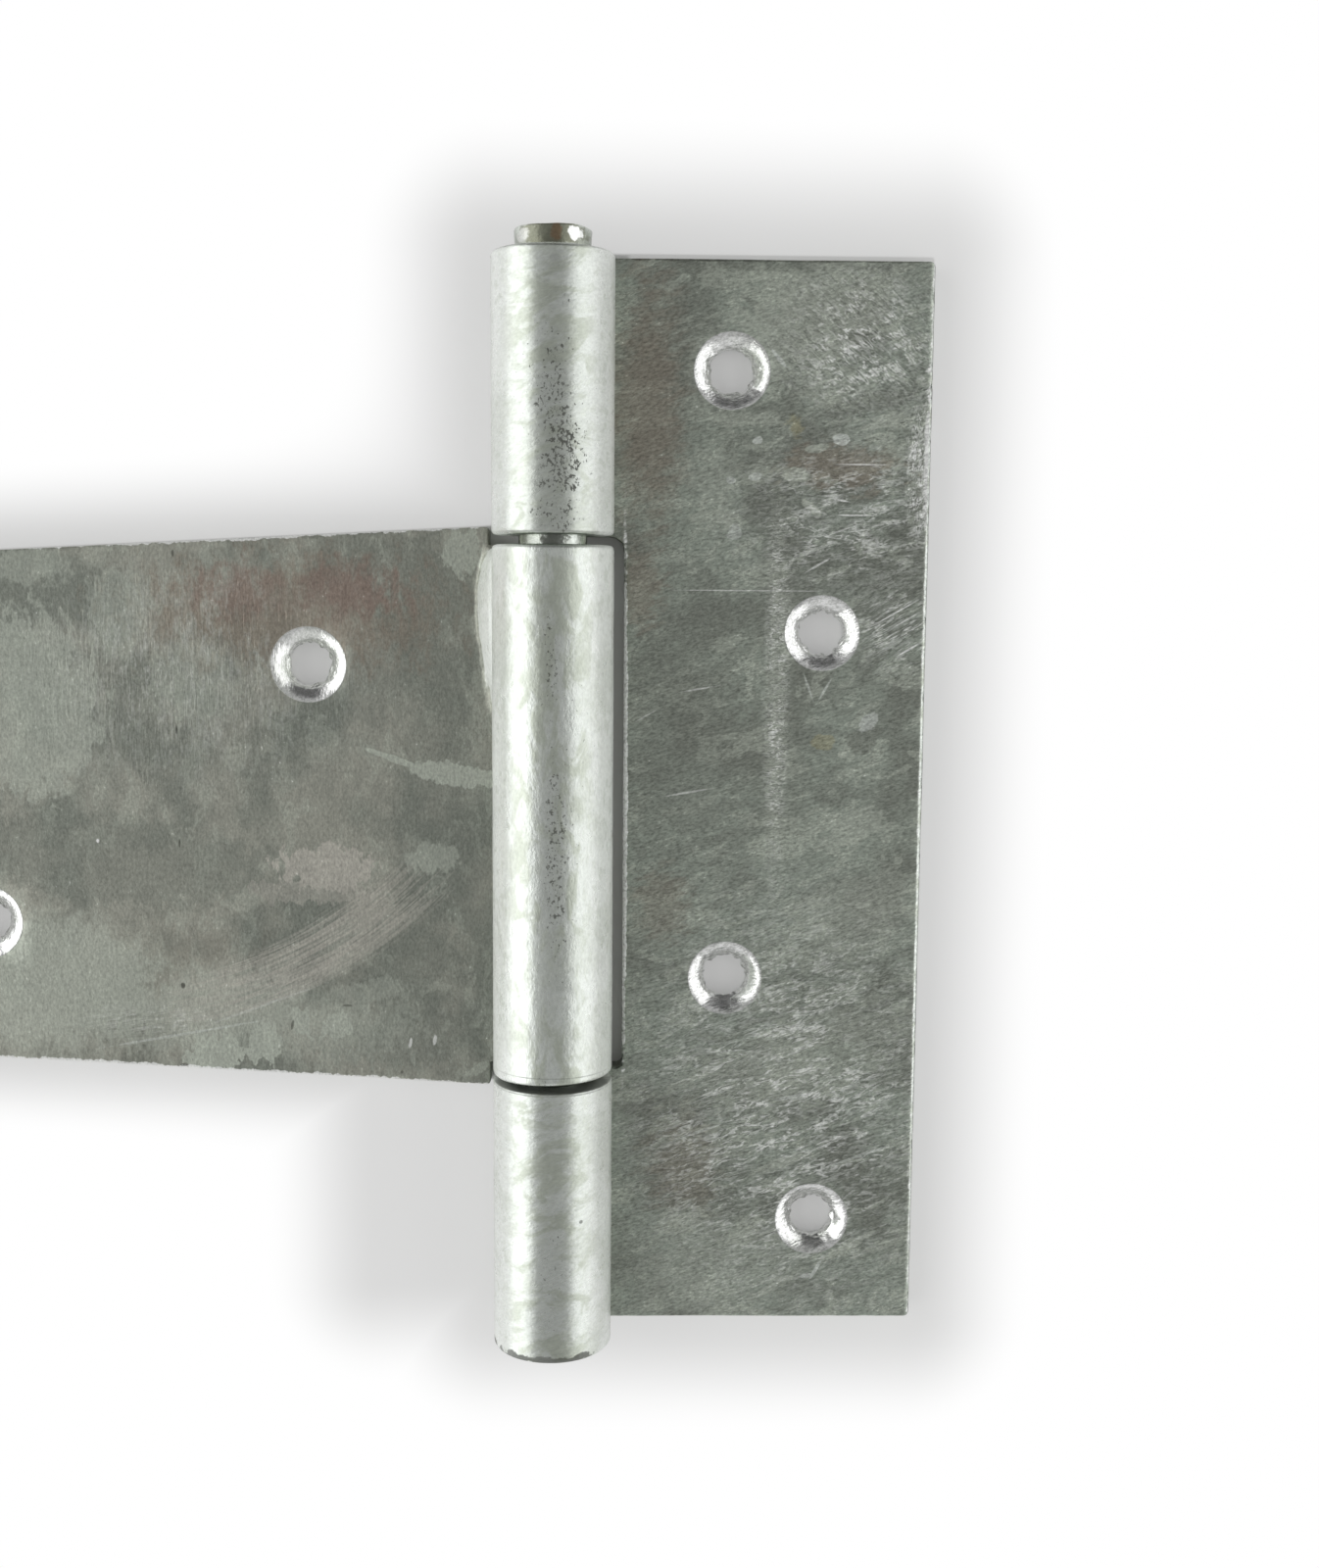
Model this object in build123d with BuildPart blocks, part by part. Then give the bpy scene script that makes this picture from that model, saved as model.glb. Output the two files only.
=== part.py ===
from build123d import *
import math
import os

os.makedirs("parts", exist_ok=True)

# A tee hinge lying open on its back. Sizes are in mm.
# The pin's axis runs along Y over x = 0, and z = 0 is the plane that both backs lie on.
# The strap runs towards -X, the back flap towards +X, and the barrel stands up towards +Z.
# Y = 0 is the middle of the back flap's height.

# Sheet, pin and barrel, shared by both leaves
plate_t = 4.2
pin_d = 11.1
pin_clearance = 0.1  # on the radius, in every knuckle
lip_gap = 0.3  # from the rolled sheet's end to the leaf that it comes back to
pin_r = pin_d / 2
bore_r = pin_r + pin_clearance
barrel_r = bore_r + plate_t

# Screw holes, countersunk from the barrel's side for a number 12 or 14 wood screw
hole_r = 3.7
countersink_r = 6.25
countersink_angle = 90

# Back flap
flap_height = 178.0
flap_reach = 61.5  # from the pin's axis to the free edge
flap_corner_r = 0.8
notch_clearance = 1.6  # from the middle knuckle to the notch's edge
notch_upper_r = 2.5
notch_lower_r = 1.0
near_hole_inset = 17.35  # from the notch's edge to the nearer two screw holes
far_hole_inset = 17.3  # from the free edge to the other two
end_hole_inset = 17.6  # from the flap's ends to its end screw holes
flap_hole_pitch = 42.3  # along the pin, from an end screw hole to the next
notch_x = barrel_r + notch_clearance
near_hole_x = notch_x + near_hole_inset
far_hole_x = flap_reach - far_hole_inset
end_hole_y = flap_height / 2 - end_hole_inset
inner_hole_y = end_hole_y - flap_hole_pitch

# Knuckles along the pin. The rolled strips aren't quite flush with the flap's ends.
flap_top = flap_height / 2
flap_bottom = -flap_height / 2
upper_end_short = 0.5  # the upper knuckle stops short of the flap's top edge
lower_end_over = 1.2  # the lower knuckle runs past the flap's bottom edge
middle_length = 86.95
middle_offset = -0.425  # the middle knuckle's centre is a little below the flap's middle
upper_gap = 1.5
lower_gap = 0.8
knuckle_edge_r = 0.8  # the rolled strips' outer edges are worn round
upper_end = flap_top - upper_end_short
lower_end = flap_bottom - lower_end_over
middle_top = middle_offset + middle_length / 2
middle_bottom = middle_offset - middle_length / 2
upper_start = middle_top + upper_gap
lower_start = middle_bottom - lower_gap

# Strap
strap_reach = 450.0  # from the pin's axis to the tip
strap_tip_width = 45.3  # where the tapered edges would cross the tip's end
upper_shoulder = 3.1  # the strap's root is wider than the middle knuckle by its shoulders
lower_shoulder = 3.95
shoulder_clearance = 0.9  # from the flap's knuckles to the strap's shoulders
shoulder_corner_r = 0.8
shoulder_root_r = 0.6
strap_holes = 8
strap_hole_first = 40.5  # from the pin's axis
strap_hole_last = 27.5  # from the tip
upper_row_inset = 21.1  # from the upper edge to every second screw hole
lower_row_inset = 23.1
shoulder_x = barrel_r + shoulder_clearance
root_half = (middle_length + upper_shoulder + lower_shoulder) / 2
strap_y = middle_offset + (upper_shoulder - lower_shoulder) / 2
tip_half = strap_tip_width / 2
taper = math.atan2(root_half - tip_half, strap_reach - shoulder_x)
tip_r = tip_half * math.cos(taper) / (1 - math.sin(taper))

# Pin ends
head_base_r = 6.0
head_end_r = 6.3
head_height = 3.5
head_dome = 0.3
head_edge_r = 0.4
foot_r = 6.0
foot_height = 0.9
foot_dome = 0.3

# The rolled strip comes down on its own leaf, its end cut square to the sheet.
lip_angle = math.degrees(math.asin((barrel_r - plate_t - lip_gap) / barrel_r))
roll_sweep = 270 + lip_angle
pin_up = Axis((0, 0, barrel_r), (0, 1, 0))
pin_down = Axis((0, 0, barrel_r), (0, -1, 0))

flap_holes = [
    (near_hole_x, end_hole_y),
    (far_hole_x, inner_hole_y),
    (near_hole_x, -inner_hole_y),
    (far_hole_x, -end_hole_y),
]

hole_pitch = (strap_reach - strap_hole_last - strap_hole_first) / (strap_holes - 1)
strap_hole_places = []
for i in range(strap_holes):
    x = strap_hole_first + i * hole_pitch
    half = root_half - (x - shoulder_x) * math.tan(taper)
    y = strap_y + half - upper_row_inset if i % 2 == 0 else strap_y - half + lower_row_inset
    strap_hole_places.append((-x, y))

# Back flap: a notched plate whose inner edge is rolled into the upper and lower knuckles
with BuildPart() as flap:
    with BuildSketch() as flap_outline:
        with BuildLine():
            Polyline(
                (0, upper_end),
                (notch_x, upper_end),
                (notch_x, flap_top),
                (flap_reach, flap_top),
                (flap_reach, flap_bottom),
                (notch_x, flap_bottom),
                (notch_x, lower_end),
                (0, lower_end),
                (0, lower_start),
                (notch_x, lower_start),
                (notch_x, upper_start),
                (0, upper_start),
                close=True,
            )
        make_face()
        free_corners = flap_outline.vertices().group_by(Axis.X)[-1]
        fillet(free_corners, flap_corner_r)
        notch_corners = flap_outline.vertices().filter_by_position(
            Axis.X, notch_x - plate_t / 10, notch_x + plate_t / 10
        )
        fillet(notch_corners.sort_by(Axis.Y)[3], notch_upper_r)
        notch_corners = flap_outline.vertices().filter_by_position(
            Axis.X, notch_x - plate_t / 10, notch_x + plate_t / 10
        )
        fillet(notch_corners.sort_by(Axis.Y)[2], notch_lower_r)
    extrude(amount=plate_t)
    for start, end in ((upper_start, upper_end), (lower_end, lower_start)):
        with BuildSketch(Plane.YZ) as strip:
            with BuildLine():
                Polyline((start, 0), (end, 0), (end, plate_t), (start, plate_t), close=True)
            make_face()
            fillet(strip.vertices().group_by(Axis.Z)[0], knuckle_edge_r)
        revolve(axis=pin_up, revolution_arc=roll_sweep)
    with Locations(Plane.XY.offset(plate_t)):
        with Locations(*flap_holes):
            CounterSinkHole(hole_r, countersink_r, counter_sink_angle=countersink_angle)

flap.part.label = "flap"
export_step(flap.part, "parts/flap.step")

# Strap: a long tapered plate with a rounded tip, its root rolled into the middle knuckle
with BuildPart() as strap:
    with BuildSketch() as strap_outline:
        with BuildLine():
            tip_centre = strap_reach - tip_r
            tip_upper = (
                -tip_centre - tip_r * math.sin(taper),
                strap_y + tip_r * math.cos(taper),
            )
            tip_lower = (
                -tip_centre - tip_r * math.sin(taper),
                strap_y - tip_r * math.cos(taper),
            )
            Polyline(
                tip_upper,
                (-shoulder_x, strap_y + root_half),
                (-shoulder_x, middle_top),
                (0, middle_top),
                (0, middle_bottom),
                (-shoulder_x, middle_bottom),
                (-shoulder_x, strap_y - root_half),
                tip_lower,
            )
            ThreePointArc(tip_lower, (-strap_reach, strap_y), tip_upper)
        make_face()
        shoulder_line = strap_outline.vertices().group_by(Axis.X)[-2].sort_by(Axis.Y)
        fillet([shoulder_line[0], shoulder_line[-1]], shoulder_corner_r)
        root_line = strap_outline.vertices().group_by(Axis.X)[-2].sort_by(Axis.Y)
        fillet([root_line[1], root_line[-2]], shoulder_root_r)
    extrude(amount=plate_t)
    with BuildSketch(Plane.YZ) as strip:
        with BuildLine():
            Polyline(
                (middle_bottom, 0),
                (middle_top, 0),
                (middle_top, plate_t),
                (middle_bottom, plate_t),
                close=True,
            )
        make_face()
        fillet(strip.vertices().group_by(Axis.Z)[0], knuckle_edge_r)
    revolve(axis=pin_down, revolution_arc=roll_sweep)
    with Locations(Plane.XY.offset(plate_t)):
        with Locations(*strap_hole_places):
            CounterSinkHole(hole_r, countersink_r, counter_sink_angle=countersink_angle)

strap.part.label = "strap"
export_step(strap.part, "parts/strap.step")

# Pin: headed over the upper knuckle and peened over the lower one
with BuildPart() as pin:
    with BuildSketch(Plane.XY.offset(barrel_r)) as pin_outline:
        with BuildLine():
            head_edge = upper_end + head_height
            foot_edge = lower_end - foot_height
            side = Polyline(
                (head_end_r, head_edge),
                (head_base_r, upper_end),
                (pin_r, upper_end),
                (pin_r, lower_end),
                (foot_r, lower_end),
                (foot_r, foot_edge),
            )
            Line((0, head_edge + head_dome), (0, foot_edge - foot_dome))
            ThreePointArc(
                (0, head_edge + head_dome),
                (head_end_r / 2, head_edge + head_dome * 3 / 4),
                side @ 0,
            )
            ThreePointArc(
                (0, foot_edge - foot_dome),
                (foot_r / 2, foot_edge - foot_dome * 3 / 4),
                side @ 1,
            )
        make_face()
        fillet(pin_outline.vertices().group_by(Axis.X)[-1], head_edge_r)
    revolve(axis=pin_up)

pin.part.label = "pin"
export_step(pin.part, "parts/pin.step")
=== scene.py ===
"""A hot-dip galvanised tee hinge lying open on a white table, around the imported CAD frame."""

import math
from functools import partial

import bmesh
import bpy
from bpy.props import FloatProperty, FloatVectorProperty, IntProperty, PointerProperty
from bpy.types import Operator, Panel, PropertyGroup
from mathutils import Matrix, Vector, noise


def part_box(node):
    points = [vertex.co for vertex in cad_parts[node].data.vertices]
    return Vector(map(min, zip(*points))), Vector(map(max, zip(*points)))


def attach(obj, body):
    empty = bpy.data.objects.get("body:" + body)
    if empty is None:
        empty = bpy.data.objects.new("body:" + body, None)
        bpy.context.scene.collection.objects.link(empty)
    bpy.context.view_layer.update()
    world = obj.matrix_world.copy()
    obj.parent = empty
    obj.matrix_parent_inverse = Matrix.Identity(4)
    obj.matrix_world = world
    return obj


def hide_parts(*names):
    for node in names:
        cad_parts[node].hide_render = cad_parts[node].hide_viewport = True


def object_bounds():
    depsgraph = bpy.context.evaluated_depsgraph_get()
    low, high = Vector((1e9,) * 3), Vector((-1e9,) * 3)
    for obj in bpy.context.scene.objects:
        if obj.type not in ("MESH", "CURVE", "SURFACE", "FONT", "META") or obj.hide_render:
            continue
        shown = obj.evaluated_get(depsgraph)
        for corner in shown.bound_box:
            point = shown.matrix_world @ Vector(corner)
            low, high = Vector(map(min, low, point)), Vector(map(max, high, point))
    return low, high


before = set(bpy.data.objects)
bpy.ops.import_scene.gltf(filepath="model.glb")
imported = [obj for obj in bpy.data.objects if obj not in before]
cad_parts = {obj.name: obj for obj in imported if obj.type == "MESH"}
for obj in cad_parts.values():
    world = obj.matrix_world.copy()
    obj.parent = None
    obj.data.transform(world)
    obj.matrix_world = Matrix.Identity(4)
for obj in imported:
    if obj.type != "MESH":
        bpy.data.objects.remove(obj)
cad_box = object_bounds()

bl_info = {
    "name": "Tee hinge",
    "version": (1, 0, 0),
    "blender": (4, 5, 0),
    "location": "3D View > Sidebar > Hinge",
    "description": "A galvanised tee hinge with a rolled barrel, its finish and a plain studio",
    "category": "Object",
}

MM = 0.001
TINY = 1e-6
SHARP = math.radians(40)  # a steeper fold between two faces is an edge to soften

# In millimetres: the leaves' upper face, on which flat marks lie, and where the knuckles begin
SHEET_TOP = 4.2
KNUCKLE_FROM = 4.3
MARK_DEPTH = 2.0

# The photo's camera, fitted to the hinge's outlines: its place in metres and its turn in degrees
CAMERA_PLACE = (0.01243618, 0.03688160, 0.28329489)
CAMERA_TURN = (-6.75461511, -0.98932956, 0.44621452)

FLAP_LOW, FLAP_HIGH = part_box("flap")
STRAP_LOW, STRAP_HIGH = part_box("strap")
PIN_LOW, PIN_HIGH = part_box("pin")


# Properties: the sizes, the finish and the studio


def length(name, description, default):
    return FloatProperty(
        name=name, description=description, default=default, unit="LENGTH", precision=5
    )


def colour(name, description, default):
    return FloatVectorProperty(
        name=name,
        description=description,
        default=default,
        subtype="COLOR",
        size=3,
        min=0.0,
        max=1.0,
    )


def amount(name, description, default, most=1.0):
    return FloatProperty(name=name, description=description, default=default, min=0.0, max=most)


class HingeSizes(PropertyGroup):
    """The hinge's sizes, in the frame of the CAD model."""

    sheet: length("Sheet", "Thickness of both leaves with their zinc", 0.0042)
    barrel_radius: length("Barrel radius", "Outside of the rolled knuckles", FLAP_HIGH.z / 2)
    pin_radius: length("Pin radius", "Shank of the pin", 0.00555)
    lip_gap: length("Lip gap", "From the rolled sheet's end to its own leaf", 0.0003)
    hole_radius: length("Hole radius", "Shank of the screw holes", 0.0037)
    countersink_radius: length("Countersink radius", "Rim of the screw holes", 0.00625)
    edge_softness: length("Edge softness", "Rounding of the zinc over sheared edges", 0.00035)
    worn_softness: length("Worn softness", "Rounding of the flap's free edge and notch", 0.0008)
    corner_radius: length("Corner radius", "Free corners of both leaves", 0.0008)
    knuckle_edge: length("Knuckle edge", "Rounding of the knuckles' outer ends", 0.0008)
    flap_reach: length("Flap reach", "From the pin's axis to the flap's free edge", FLAP_HIGH.x)
    flap_top: length("Flap top", "Upper end of the flap", FLAP_HIGH.y)
    flap_bottom: length("Flap bottom", "Lower end of the flap", -FLAP_HIGH.y)
    notch_edge: length("Notch edge", "From the pin's axis to the notch's edge", 0.01145)
    notch_upper_radius: length("Notch upper radius", "Upper corner of the notch", 0.0025)
    notch_lower_radius: length("Notch lower radius", "Lower corner of the notch", 0.001)
    upper_end: length("Upper knuckle end", "Top of the upper knuckle", 0.0885)
    upper_start: length("Upper knuckle start", "Bottom of the upper knuckle", 0.04455)
    lower_start: length("Lower knuckle start", "Top of the lower knuckle", -0.0447)
    lower_end: length("Lower knuckle end", "Bottom of the lower knuckle", FLAP_LOW.y)
    near_hole: length("Near holes", "From the pin's axis to the nearer screw holes", 0.0288)
    far_hole: length("Far holes", "From the pin's axis to the farther screw holes", 0.0442)
    end_hole: length("End holes", "From the flap's middle to its end screw holes", 0.0714)
    inner_hole: length("Inner holes", "From the flap's middle to the other two", 0.0291)
    middle_top: length("Middle knuckle top", "Top of the strap's knuckle", 0.04305)
    middle_bottom: length("Middle knuckle bottom", "Bottom of the strap's knuckle", -0.0439)
    middle_skew: length("Middle knuckle skew", "How far its lower end rises to the flap", 0.0005)
    strap_reach: length("Strap reach", "From the pin's axis to the tip", -STRAP_LOW.x)
    strap_tip_width: length("Strap tip width", "Where the edges would cross the tip", 0.0453)
    shoulder_edge: length("Shoulder edge", "From the pin's axis to the shoulders", 0.01075)
    root_top: length("Root top", "Upper shoulder's outer corner", STRAP_HIGH.y)
    root_bottom: length("Root bottom", "Lower shoulder's outer corner", STRAP_LOW.y)
    strap_hole_first: length("First hole", "From the pin's axis to the first screw hole", 0.0405)
    strap_hole_last: length("Last hole", "From the tip to the last screw hole", 0.0275)
    upper_row: length("Upper row", "From the upper edge to every second screw hole", 0.0211)
    lower_row: length("Lower row", "From the lower edge to the others", 0.0231)
    strap_holes: IntProperty(
        name="Strap holes", description="Screw holes along the strap", default=8, min=2, max=12
    )
    head_base: length("Head base", "Radius of the pin's head where it leaves the knuckle", 0.006)
    head_end: length("Head end", "Radius of the pin's head at its end", 0.0063)
    head_height: length("Head height", "From the upper knuckle to the head's edge", 0.0035)
    head_dome: length("Head dome", "Rise of the head's and the foot's middle", 0.0003)
    foot_radius: length("Foot radius", "Radius of the peened foot", 0.006)
    foot_height: length("Foot height", "From the lower knuckle to the foot's edge", 0.0009)


class HingeFinish(PropertyGroup):
    """The colours of the zinc and of what lies on it, among them painted highlights, a painted
    sheen and painted shade.
    """

    dull: colour("Dull zinc", "Weathered zinc of the back flap", (0.40, 0.445, 0.385))
    buff: colour("Buff zinc", "Weathered zinc of the strap", (0.435, 0.44, 0.38))
    # dark: clouds in the zinc, and also painted shade on the knuckles' outermost sides and along
    # the flap's top edge
    dark: colour("Dark zinc", "Darker clouds in the dull zinc", (0.285, 0.305, 0.265))
    pale: colour("Pale zinc", "Chalky patches", (0.58, 0.62, 0.54))
    scuff: colour("Scuffed zinc", "Brush strokes and scuffs on the strap", (0.62, 0.60, 0.535))
    bright: colour("Bright zinc", "Rolled knuckles and fresh runs", (0.76, 0.80, 0.755))
    # barrel_side_sheen: a painted sheen, white matt zinc on the barrel's sides standing in for the
    # bright light they reflect
    barrel_side_sheen: colour("Bloom", "White bloom on the sides of the barrel", (0.92, 0.95, 0.91))
    # glint: painted highlights on worn edges, fold crests and bright grains, and bright zinc on
    # scratches
    glint: colour("Glint", "Fresh zinc on worn edges and folds", (0.94, 0.95, 0.93))
    tarnish: colour("Tarnish", "Dark olive skin of the pin's head", (0.20, 0.205, 0.15))
    warm: colour("Warm tint", "Brown tint of thin zinc", (0.36, 0.30, 0.24))
    red: colour("Red tint", "Reddish tint of thin zinc", (0.35, 0.26, 0.225))
    yellow: colour("Yellow tint", "Yellow stains", (0.50, 0.46, 0.27))
    # pits_and_shade: dark pits and nicks, and painted shade in the knuckles' gaps, along the
    # flap's top edge and beside the wrinkles' crests
    pits_and_shade: colour("Pits", "Dark pits and nicks", (0.07, 0.07, 0.06))
    rust: colour("Rust", "Rusty streak on the pin's head", (0.26, 0.17, 0.10))


class HingeStudio(PropertyGroup):
    """The table, the light and the camera."""

    side_light: amount("Side light", "Brightness of the two light sides", 1.25, 10)
    right_share: amount("Right share", "Right side against the left", 0.68, 2)
    fill_light: amount("Fill light", "Brightness overhead and towards both ends", 0.38, 10)
    near_light: amount("Near light", "Extra light from the lower end", 0.25, 10)
    # table_grey and table_glow set the painted grey halo on the table beside the hinge
    table_grey: amount("Table grey", "Whiteness of the table beside the hinge", 0.72)
    table_glow: amount("Table glow", "Share of plain white in the table beside the hinge", 0.45)
    lens: FloatProperty(
        name="Lens", description="Focal length in mm on a 36 mm frame", default=46.016, min=1.0
    )


# Mesh helpers


def spaced(start, end, step, stops=()):
    """Places from start to end, about a step apart, with one at every stop."""
    marks = sorted({round(place, 7) for place in (start, end, *stops)})
    places = marks[:1]
    for near, far in zip(marks, marks[1:]):
        count = max(1, round((far - near) / step))
        places += [near + (far - near) * i / count for i in range(1, count + 1)]
    return places


def ruled_sheet(bm, columns, rows):
    """Lays a flat grid whose lines stand at the given places."""
    wide, high = len(columns) - 1, len(rows) - 1
    grid = bmesh.ops.create_grid(bm, x_segments=wide, y_segments=high, size=0.5)
    for vert in grid["verts"]:
        i = round((vert.co.x + 0.5) * wide)
        j = round((vert.co.y + 0.5) * high)
        vert.co = (columns[i], rows[j], 0.0)


def drop_faces(bm, unwanted):
    """Takes away the faces whose middles are unwanted."""
    gone = [face for face in bm.faces if unwanted(face.calc_center_median())]
    bmesh.ops.delete(bm, geom=gone, context="FACES")


def hole_cell(bm, place, reach):
    """The faces of the flat grid round a screw hole."""

    def inside(face):
        middle = face.calc_center_median()
        return abs(middle.x - place[0]) < reach[0] and abs(middle.y - place[1]) < reach[1]

    cell = [face for face in bm.faces if inside(face)]
    if not cell:
        raise RuntimeError(f"no face of the sheet lies at the screw hole {place}")
    return cell


def open_screw_hole(bm, cell, place, radius):
    """Cuts a screw hole's cell out of the grid and joins a round rim to it."""
    inside = set(cell)
    sides = [edge for face in cell for edge in face.edges]
    border = [edge for edge in sides if sum(face in inside for face in edge.link_faces) == 1]
    bmesh.ops.delete(bm, geom=cell, context="FACES")
    inner = bmesh.ops.extrude_edge_only(bm, edges=border)["geom"]
    for vert in inner:
        if isinstance(vert, bmesh.types.BMVert):
            vert.co.xy = Vector(place) + (vert.co.xy - Vector(place)).normalized() * radius


def round_notch(bm, corner, centre):
    """Draws the outline beside an inner corner onto an arc round centre."""
    reach = Vector(corner) - Vector(centre)
    radius = abs(reach.x)
    for vert in bm.verts:
        if not vert.is_boundary:
            continue
        offset = vert.co.xy - Vector(centre)
        side = max(abs(offset.x), abs(offset.y))
        if side < radius + TINY and offset.x * reach.x >= 0 and offset.y * reach.y >= 0:
            if offset.length > TINY:
                vert.co.xy = Vector(centre) + offset * side / offset.length


def thicken(bm, sizes, holes):
    """Gives the flat sheet its thickness, and draws the screw holes in on the way down."""
    rim, bore = sizes.countersink_radius, sizes.hole_radius
    deep = rim - bore
    # How deep each ring of the dished countersink lies, and its radius
    steps = (
        (0.22 * deep, rim - 0.4 * deep),
        (0.5 * deep, rim - 0.76 * deep),
        (0.72 * deep, bore),
        (sizes.sheet, bore),
    )
    bmesh.ops.translate(bm, verts=bm.verts[:], vec=(0.0, 0.0, sizes.sheet))
    faces, radius, last = bm.faces[:], rim, 0.0
    for depth, narrowed in steps:
        grown = bmesh.ops.extrude_face_region(bm, geom=faces, use_keep_orig=True)["geom"]
        if last:
            bmesh.ops.delete(bm, geom=faces, context="FACES")
        lower = [item for item in grown if isinstance(item, bmesh.types.BMVert)]
        bmesh.ops.translate(bm, verts=lower, vec=(0.0, 0.0, last - depth))
        for x, y in holes:
            ring = [v for v in lower if (v.co.xy - Vector((x, y))).length < radius * 1.01]
            ratio, about = narrowed / radius, Matrix.Translation((-x, -y, 0.0))
            bmesh.ops.scale(bm, verts=ring, vec=(ratio, ratio, 1.0), space=about)
        faces = [item for item in grown if isinstance(item, bmesh.types.BMFace)]
        radius, last = narrowed, depth


def roll_knuckle(bm, sizes, start, end, way):
    """Rolls the strip's end round the pin, back down to its own leaf."""

    def at_end(face):
        middle = face.calc_center_median()
        return abs(middle.x) < TINY and middle.z < sizes.sheet and start < middle.y < end

    # The end is rolled in a mesh of its own, because each step of a spin walks the whole mesh
    strip = bm.copy()
    rest = [face for face in strip.faces if not at_end(face)]
    bmesh.ops.delete(strip, geom=rest, context="FACES")
    if not strip.faces:
        raise RuntimeError("the strip has no end to roll")
    drop = sizes.barrel_radius - sizes.sheet - sizes.lip_gap
    bmesh.ops.spin(
        strip,
        geom=strip.verts[:] + strip.edges[:] + strip.faces[:],
        cent=(0.0, 0.0, sizes.barrel_radius),
        axis=(0.0, way, 0.0),
        angle=math.radians(270) + math.asin(drop / sizes.barrel_radius),
        steps=96,
        use_duplicate=False,
    )
    for part in (strip, bm):
        ends = [face for face in part.faces if at_end(face)]
        bmesh.ops.delete(part, geom=ends, context="FACES")
    rolled = bpy.data.meshes.new("rolled")
    strip.to_mesh(rolled)
    strip.free()
    bm.from_mesh(rolled)
    bpy.data.meshes.remove(rolled)
    seam = [vert for vert in bm.verts if abs(vert.co.x) < TINY and vert.co.z < sizes.sheet + TINY]
    bmesh.ops.remove_doubles(bm, verts=seam, dist=TINY)


def finished(bm, name):
    """Puts a finished mesh into the scene as an object."""
    mesh = bpy.data.meshes.new(name)
    bm.to_mesh(mesh)
    bm.free()
    piece = bpy.data.objects.new(name, mesh)
    bpy.context.scene.collection.objects.link(piece)
    return piece


def round_edges(bm, name, sizes, corners):
    """Bevels the sharp edges, wider on the free corners and the knuckles' outer rims."""
    bm.normal_update()
    weight = bm.edges.layers.float.new("bevel_weight_edge")
    for edge in bm.edges:
        if edge.calc_face_angle(0.0) < SHARP:
            continue
        width = sizes.edge_softness
        near, far = (vert.co for vert in edge.verts)
        spokes = [Vector((at.x, 0.0, at.z - sizes.barrel_radius)) for at in (near, far)]
        on_rim = all(abs(spoke.length - sizes.barrel_radius) < 10 * TINY for spoke in spokes)
        if on_rim and abs(near.y - far.y) < TINY and near.y > sizes.lower_start + TINY:
            rolled = min(1.0, near.z / (2 * MM))
            width += (sizes.knuckle_edge - width) * rolled
        for worn in (sizes.flap_reach, sizes.notch_edge):
            off = [abs(at.x - worn) + abs(at.z - sizes.sheet) for at in (near, far)]
            if max(off) < 10 * TINY:
                width = sizes.worn_softness
        middle = (near.xy + far.xy) / 2
        if any((middle - Vector(corner)).length < TINY for corner in corners):
            width = sizes.corner_radius
        edge[weight] = width / MM
    bmesh.ops.recalc_face_normals(bm, faces=bm.faces[:])
    piece = finished(bm, name)
    sharp = piece.data
    bevel = piece.modifiers.new("soft edges", "BEVEL")
    bevel.limit_method = "WEIGHT"
    bevel.width = MM
    bevel.segments = 3
    bevel.use_clamp_overlap = False
    bpy.context.view_layer.update()
    graph = bpy.context.evaluated_depsgraph_get()
    softened = bpy.data.meshes.new_from_object(piece.evaluated_get(graph))
    piece.modifiers.clear()
    piece.data = softened
    bpy.data.meshes.remove(sharp)
    softened.name = name
    return piece


def reshape(piece, move):
    """Moves a piece's points by what move says of place and normal, inside the CAD box."""
    low, high = cad_box
    bm = bmesh.new()
    bm.from_mesh(piece.data)
    bm.normal_update()
    shifts = [move(vert.co / MM, vert.normal) * MM for vert in bm.verts]
    for vert, shift in zip(bm.verts, shifts):
        place = vert.co + shift
        vert.co = [min(max(place[i], low[i]), high[i]) for i in range(3)]
    bmesh.ops.recalc_face_normals(bm, faces=bm.faces[:])
    bm.to_mesh(piece.data)
    bm.free()
    piece.data.polygons.foreach_set("use_smooth", [True] * len(piece.data.polygons))
    piece.data.update()


def weathered(place, normal, bore, axis_height):
    """How far the zinc's uneven coat lies under the true surface, in millimetres."""
    off_axis = math.hypot(place.x, place.z - axis_height)
    if off_axis < bore + 0.5 and place.z > KNUCKLE_FROM:
        return Vector()
    wave = noise.noise(place / 11) * 0.05 + noise.noise(place / 3.1 + Vector((7, 3, 1))) * 0.025
    shift = min(0.0, wave - 0.02)
    if max(abs(part) for part in normal) < 0.93 and off_axis > 11.2:
        shift -= max(0.0, noise.noise(place / 1.9) - 0.25) * 0.5
    return normal * shift


def throat(at, holes, radius):
    """How far the lumpy zinc at the throat of a screw hole narrows it, in millimetres."""
    for hole in holes:
        spoke = Vector((at.x, at.y)) - Vector(hole) / MM
        if spoke.length < radius / MM + 0.1 and at.z > 0.5:
            lumps = noise.noise(at / 1.3) * 0.5 + noise.noise(at / 0.6 + Vector((4, 9, 2))) * 0.3
            return spoke.normalized().to_3d() * -min(0.5, max(0.0, 0.2 + lumps))
    return Vector()


# Node helpers: a new node goes into the tree of the sockets that feed it


def put(tree, kind, **settings):
    node = tree.nodes.new(kind)
    for key, value in settings.items():
        setattr(node, key, value)
    return node


def tree_of(*values):
    """The node tree of the sockets among the values."""
    return next(value.id_data for value in values if isinstance(value, bpy.types.NodeSocket))


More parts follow.
